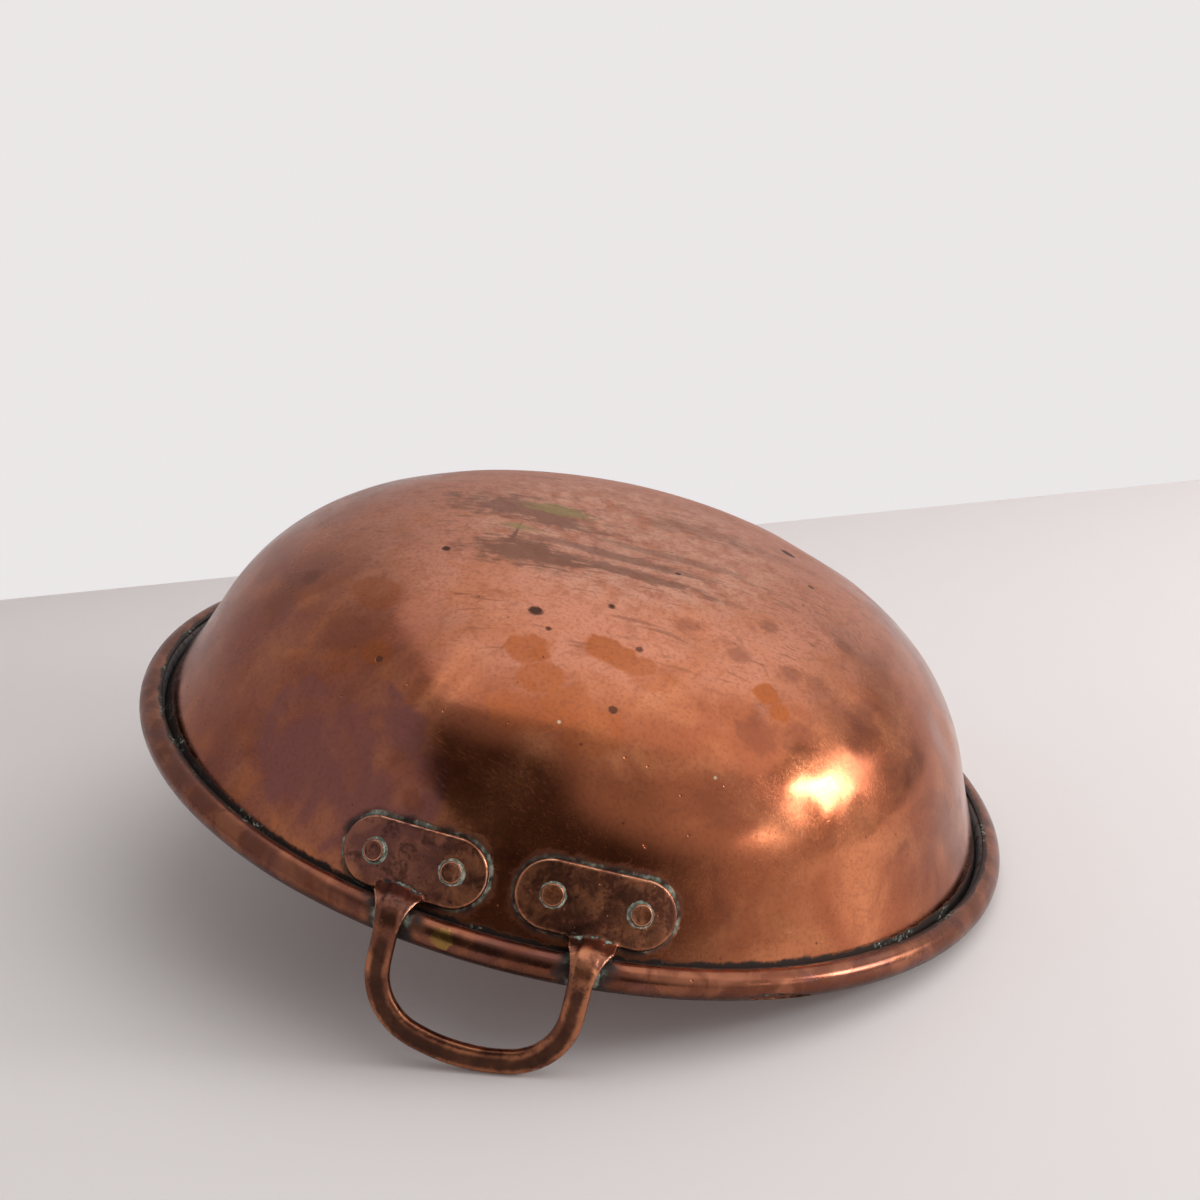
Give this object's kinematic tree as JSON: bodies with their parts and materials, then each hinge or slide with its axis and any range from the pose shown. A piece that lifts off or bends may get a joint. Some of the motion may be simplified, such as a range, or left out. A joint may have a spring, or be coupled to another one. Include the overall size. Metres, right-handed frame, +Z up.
{
  "type": "jam pan",
  "caption": "Upturned copper preserving pan: raised bowl with a wired rim and riveted D-loop handles, resting on its loops and rim.",
  "frame": {"origin": "on the ground, below the middle of the rim, with the pan lying upside down on both handle loops and one side of its rim", "axes": "+Z up as the pan lies; X runs through both handles, with handle_far at +X and handle_near at -X; the raised side of the rim is at +Y. The axis of the bowl leans 12.1 degrees from +Z towards -Y"},
  "size_m": [0.4096, 0.3842, 0.1647],
  "materials": {
    "bowl_copper": "worn raised copper, half polished, with brown and purple tarnish",
    "handle_copper": "dark tarnished forged copper with bright worn edges",
    "rivet_copper": "hammered copper with green tarnish round the heads",
    "iron_wire": "dull grey drawn iron"
  },
  "bodies": {
    "root": {"bowl": "bowl_copper", "rim_wire": "iron_wire", "handle_near": "handle_copper", "handle_far": "handle_copper", "rivet_near_1": "rivet_copper", "rivet_near_2": "rivet_copper", "rivet_near_3": "rivet_copper", "rivet_near_4": "rivet_copper", "rivet_far_1": "rivet_copper", "rivet_far_2": "rivet_copper", "rivet_far_3": "rivet_copper", "rivet_far_4": "rivet_copper"}
  },
  "joints": []
}
